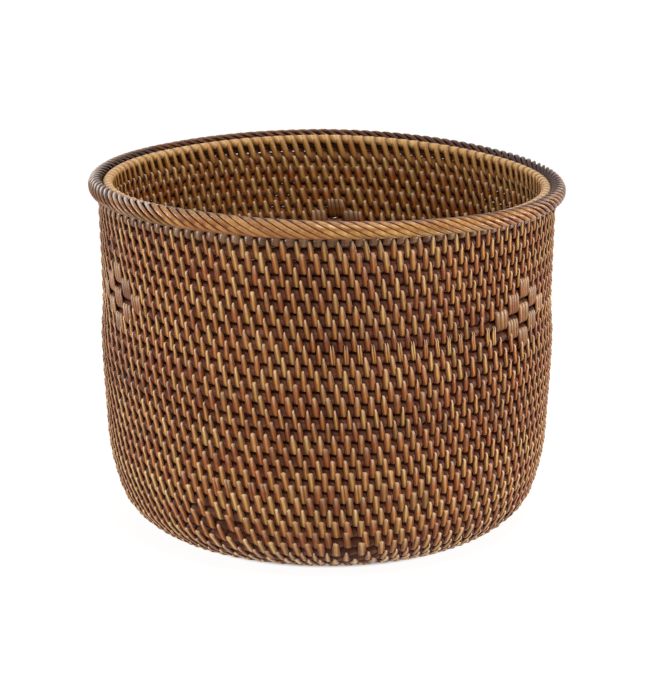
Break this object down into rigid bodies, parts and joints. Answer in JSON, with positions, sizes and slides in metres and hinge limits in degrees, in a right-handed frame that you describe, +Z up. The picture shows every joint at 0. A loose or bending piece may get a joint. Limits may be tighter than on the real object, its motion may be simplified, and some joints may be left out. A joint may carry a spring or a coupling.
{
  "type": "basket planter",
  "caption": "Round open planter basket of coiled rattan cane, with a rounded foot, a flat spiral base, wrapped diamond motifs and a twisted border on the rim.",
  "frame": {"origin": "centre of the underside, on the surface that the basket stands on", "axes": "+Z up along the basket's axis, -Y towards the viewer of the picture, +X to the viewer's right"},
  "size_m": [0.2626, 0.2626, 0.2001],
  "materials": {
    "cane": "dark brown stained rattan cane, satin varnish",
    "binding": "split rattan strip, golden tan, satin",
    "border": "half-round rattan core, light tan, satin varnish"
  },
  "bodies": {
    "root": {"wall_cane_1": "cane", "wall_cane_2": "cane", "wall_cane_3": "cane", "wall_cane_4": "cane", "wall_cane_5": "cane", "foot_cane": "cane", "base_cane": "cane", "base_start": "binding", "motif_1_wrap_1_1": "binding", "motif_1_wrap_2_1": "binding", "motif_1_wrap_2_2": "binding", "motif_1_wrap_3_1": "binding", "motif_1_wrap_3_2": "binding", "motif_1_wrap_3_3": "binding", "motif_1_wrap_4_1": "binding", "motif_1_wrap_4_2": "binding", "motif_1_wrap_5_1": "binding", "motif_2_wrap_1_1": "binding", "motif_2_wrap_2_1": "binding", "motif_2_wrap_2_2": "binding", "motif_2_wrap_3_1": "binding", "motif_2_wrap_3_2": "binding", "motif_2_wrap_3_3": "binding", "motif_2_wrap_4_1": "binding", "motif_2_wrap_4_2": "binding", "motif_2_wrap_5_1": "binding", "motif_3_wrap_1_1": "binding", "motif_3_wrap_2_1": "binding", "motif_3_wrap_2_2": "binding", "motif_3_wrap_3_1": "binding", "motif_3_wrap_3_2": "binding", "motif_3_wrap_3_3": "binding", "motif_3_wrap_4_1": "binding", "motif_3_wrap_4_2": "binding", "motif_3_wrap_5_1": "binding", "rim_rail": "cane", "rim_filler": "cane", "rim_hoop": "cane", "border_strand_1": "border", "border_strand_2": "border", "border_strand_3": "border", "border_strand_4": "border", "border_strand_5": "border", "border_strand_6": "border", "border_strand_7": "border"}
  },
  "joints": []
}
